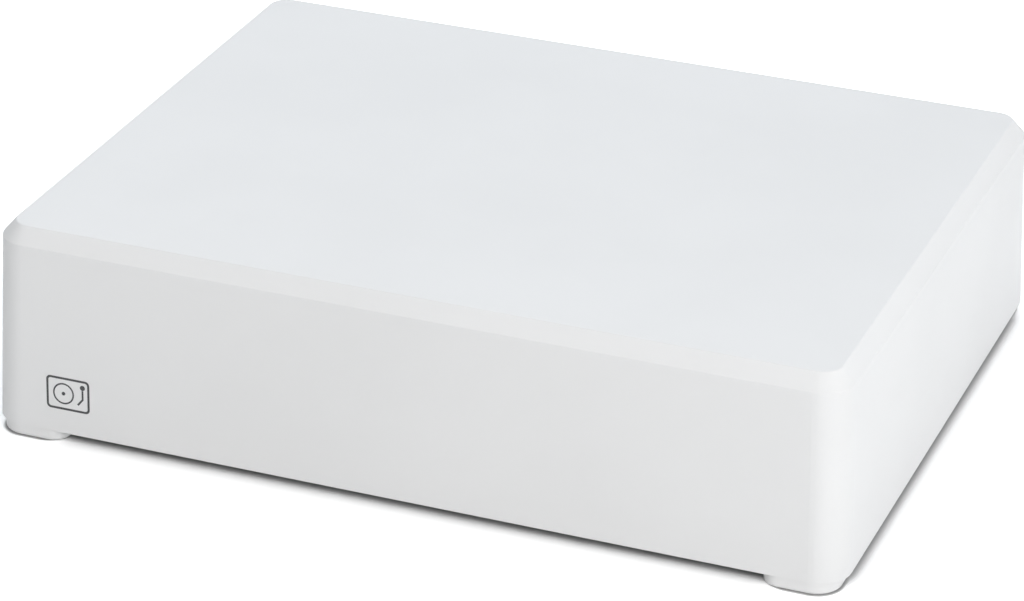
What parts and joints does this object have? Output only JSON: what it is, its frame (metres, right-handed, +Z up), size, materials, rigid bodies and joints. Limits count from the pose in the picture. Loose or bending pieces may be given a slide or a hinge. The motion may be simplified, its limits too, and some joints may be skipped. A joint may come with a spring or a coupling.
{
  "type": "phono preamp",
  "caption": "Small flat moulded box that amplifies a turntable's signal, with chamfered roof, corner feet, and phono, ground and power sockets in a rear recess.",
  "frame": {"origin": "on the table, under the middle of the box that holds the case and its sockets", "axes": "+Z up, -Y out of the front wall, +X to the right as seen from the front; the sockets point along +Y"},
  "size_m": [0.135, 0.107, 0.034],
  "materials": {
    "case_plastic": "satin white moulding",
    "socket_black": "black moulding",
    "insert_white": "white moulding",
    "insert_red": "red moulding",
    "nickel_plate": "bright nickel",
    "brass_strip": "plain brass",
    "screw_steel": "zinc plated",
    "board_laminate": "green solder mask",
    "capacitor_sleeve": "shrink sleeve",
    "film_box": "red box",
    "chip_black": "moulded epoxy",
    "ferrite": "sintered",
    "ceramic": "fired ceramic"
  },
  "bodies": {
    "case": {"top_cover": "case_plastic", "base_plate": "case_plastic", "rear_panel": "case_plastic", "case_screws": "screw_steel", "circuit_board": "board_laminate", "board_screws": "screw_steel", "input_socket_body": "socket_black", "output_socket_body": "socket_black", "socket_screws": "screw_steel", "ground_stud": "nickel_plate", "ground_lock_nut": "nickel_plate", "ground_tag": "brass_strip", "power_socket_body": "socket_black", "power_socket_pin": "nickel_plate", "power_socket_terminals": "brass_strip", "reservoir_capacitors": "capacitor_sleeve", "coupling_capacitors": "capacitor_sleeve", "film_capacitors": "film_box", "input_op_amp": "chip_black", "output_op_amp": "chip_black", "voltage_regulators": "chip_black", "filter_choke": "ferrite", "supply_diodes": "chip_black", "muting_transistors": "chip_black", "chip_resistors": "chip_black", "chip_capacitors": "ceramic", "input_left_barrel": "nickel_plate", "input_left_insert": "insert_white", "input_left_contact": "brass_strip", "input_right_barrel": "nickel_plate", "input_right_insert": "insert_red", "input_right_contact": "brass_strip", "output_left_barrel": "nickel_plate", "output_left_insert": "insert_white", "output_left_contact": "brass_strip", "output_right_barrel": "nickel_plate", "output_right_insert": "insert_red", "output_right_contact": "brass_strip"},
    "ground_washer": {"ground_clamp_washer": "nickel_plate"},
    "ground_nut": {"ground_thumb_nut": "nickel_plate"}
  },
  "joints": [
    {"name": "ground_washer_slide", "type": "slide", "parent": "case", "child": "ground_washer", "axis": [0, 1, 0], "range_m": [0, 0.0021]},
    {"name": "ground_nut_turn", "type": "hinge", "parent": "ground_washer", "child": "ground_nut", "pos_m": [0.01, 0.0494, 0.0178], "axis": [0, 1, 0], "range_deg": [0, 1080]}
  ],
  "couplings": [
    {"joint": "ground_nut_turn", "follows": "ground_washer_slide", "rad_per_m": 8976}
  ]
}
